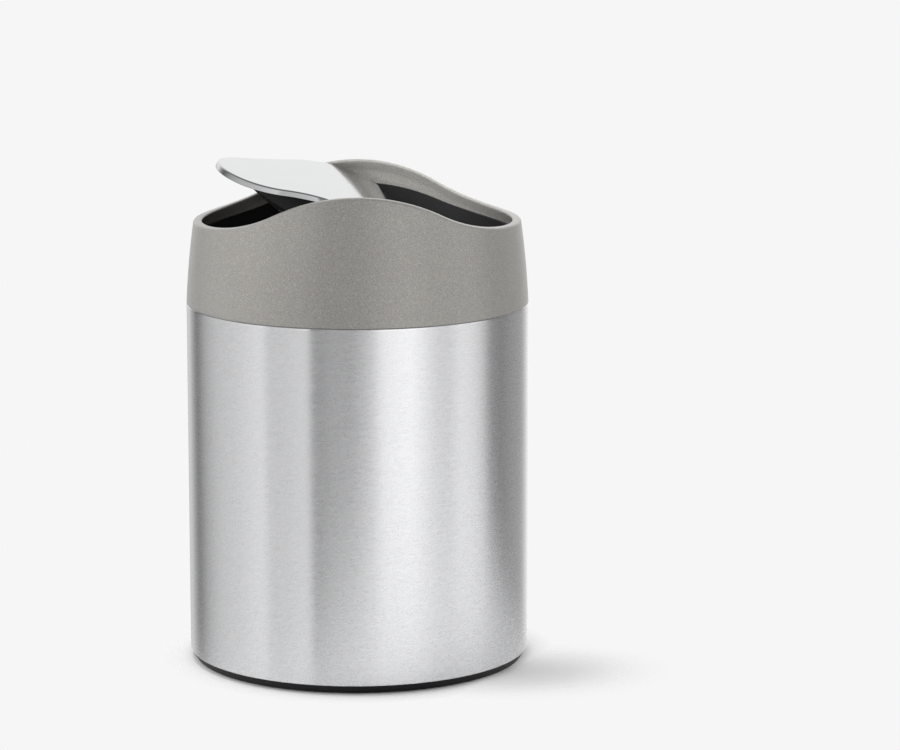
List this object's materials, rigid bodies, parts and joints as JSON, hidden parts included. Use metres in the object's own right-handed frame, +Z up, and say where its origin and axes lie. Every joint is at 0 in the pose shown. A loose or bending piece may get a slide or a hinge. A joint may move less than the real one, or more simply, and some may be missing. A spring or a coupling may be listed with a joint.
{
  "type": "push top countertop bin",
  "caption": "Small round countertop bin: brushed steel can, taupe collar lid with a wavy rim, and a polished weighted flap that swings when pushed.",
  "frame": {"origin": "on the table under the centre of the round base, which is the bottom centre of the object's box", "axes": "+Z up, front towards -Y, +X to the right; the flap pivots on a line along Y and is drawn pushed down at its +X side"},
  "size_m": [0.126, 0.126, 0.1855],
  "materials": {
    "brushed_steel": "fine horizontal brushing",
    "floor_steel": "plain rolled sheet",
    "base_plastic": "black, lightly grained",
    "collar_plastic": "taupe grey with fine metallic specks, satin",
    "liner_plastic": "near black, lightly grained",
    "tray_plastic": "near black, lightly grained",
    "polished_cover": "polished, bright silver",
    "bush_plastic": "natural bearing plastic",
    "soft_rubber": "soft, dark grey",
    "weight_steel": "plated bar",
    "pin_steel": "ground steel",
    "screw_steel": "black oxide, cross recess"
  },
  "bodies": {
    "can": {"body_shell": "brushed_steel", "floor_plate": "floor_steel", "base_ring": "base_plastic", "base_screws": "screw_steel", "non_skid_ring": "soft_rubber"},
    "lid": {"collar": "collar_plastic", "collar_liner": "liner_plastic", "lid_screws": "screw_steel", "grip_ring": "soft_rubber", "pivot_bush_front": "bush_plastic", "pivot_bush_rear": "bush_plastic", "stop_pads_front": "soft_rubber", "stop_pads_rear": "soft_rubber"},
    "flap": {"flap_cover": "polished_cover", "flap_tray": "tray_plastic", "tray_screws": "screw_steel", "flap_weight": "weight_steel", "rattle_pad": "soft_rubber", "weight_screws": "screw_steel", "pivot_pin_front": "pin_steel", "pivot_pin_rear": "pin_steel", "pin_clips": "screw_steel"}
  },
  "joints": [
    {"name": "lid_lift", "type": "slide", "parent": "can", "child": "lid", "axis": [0, 0, 1], "range_m": [0, 0.03]},
    {"name": "flap_swing", "type": "hinge", "parent": "lid", "child": "flap", "pos_m": [0, 0, 0.1683], "axis": [0, 1, 0], "range_deg": [-82.3, 27.7]}
  ]
}
